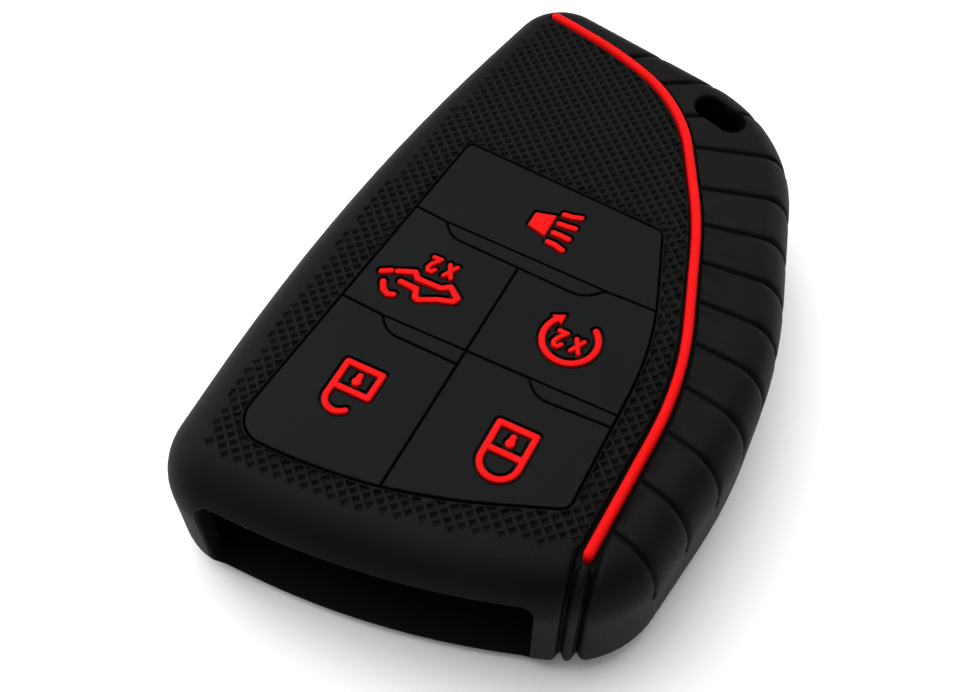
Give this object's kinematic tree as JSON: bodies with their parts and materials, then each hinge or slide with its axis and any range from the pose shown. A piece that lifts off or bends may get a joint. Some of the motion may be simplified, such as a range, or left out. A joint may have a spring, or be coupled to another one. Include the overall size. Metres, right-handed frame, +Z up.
{
  "type": "key fob cover",
  "caption": "Soft sleeve cover for a car's smart key, open at one end, with sprung push pads, raised pictograms, piping and a key-ring slot.",
  "frame": {"origin": "under the middle of the outline, on the surface that the back lies on", "axes": "+X across towards the ribbed side, +Y along from the mouth to the key-ring end, +Z up through the push pads"},
  "size_m": [0.055, 0.0846, 0.019],
  "materials": {
    "black_silicone": "matt moulded",
    "pad_silicone": "smooth satin",
    "red_silicone": "satin"
  },
  "bodies": {
    "sleeve": {"sleeve_body": "black_silicone", "accent_piping": "red_silicone"},
    "panic_pad": {"panic_button": "pad_silicone", "panic_horn": "red_silicone", "panic_wave_1": "red_silicone", "panic_wave_2": "red_silicone", "panic_wave_3": "red_silicone", "panic_wave_4": "red_silicone"},
    "tailgate_pad": {"tailgate_button": "pad_silicone", "tailgate_vehicle": "red_silicone", "tailgate_door": "red_silicone", "tailgate_swing": "red_silicone", "tailgate_two": "red_silicone", "tailgate_times": "red_silicone"},
    "start_pad": {"start_button": "pad_silicone", "start_ring": "red_silicone", "start_two": "red_silicone", "start_times": "red_silicone"},
    "unlock_pad": {"unlock_button": "pad_silicone", "unlock_padlock": "red_silicone", "unlock_keyhole": "red_silicone"},
    "lock_pad": {"lock_button": "pad_silicone", "lock_padlock": "red_silicone", "lock_keyhole": "red_silicone"}
  },
  "joints": [
    {"name": "panic_press", "type": "slide", "parent": "sleeve", "child": "panic_pad", "axis": [0, 0, -1], "range_m": [0, 0.0006], "stiffness_N_per_m": 4000},
    {"name": "tailgate_press", "type": "slide", "parent": "sleeve", "child": "tailgate_pad", "axis": [0, 0, -1], "range_m": [0, 0.0006], "stiffness_N_per_m": 4000},
    {"name": "start_press", "type": "slide", "parent": "sleeve", "child": "start_pad", "axis": [0, 0, -1], "range_m": [0, 0.0006], "stiffness_N_per_m": 4000},
    {"name": "unlock_press", "type": "slide", "parent": "sleeve", "child": "unlock_pad", "axis": [0, 0, -1], "range_m": [0, 0.0006], "stiffness_N_per_m": 4000},
    {"name": "lock_press", "type": "slide", "parent": "sleeve", "child": "lock_pad", "axis": [0, 0, -1], "range_m": [0, 0.0006], "stiffness_N_per_m": 4000}
  ]
}
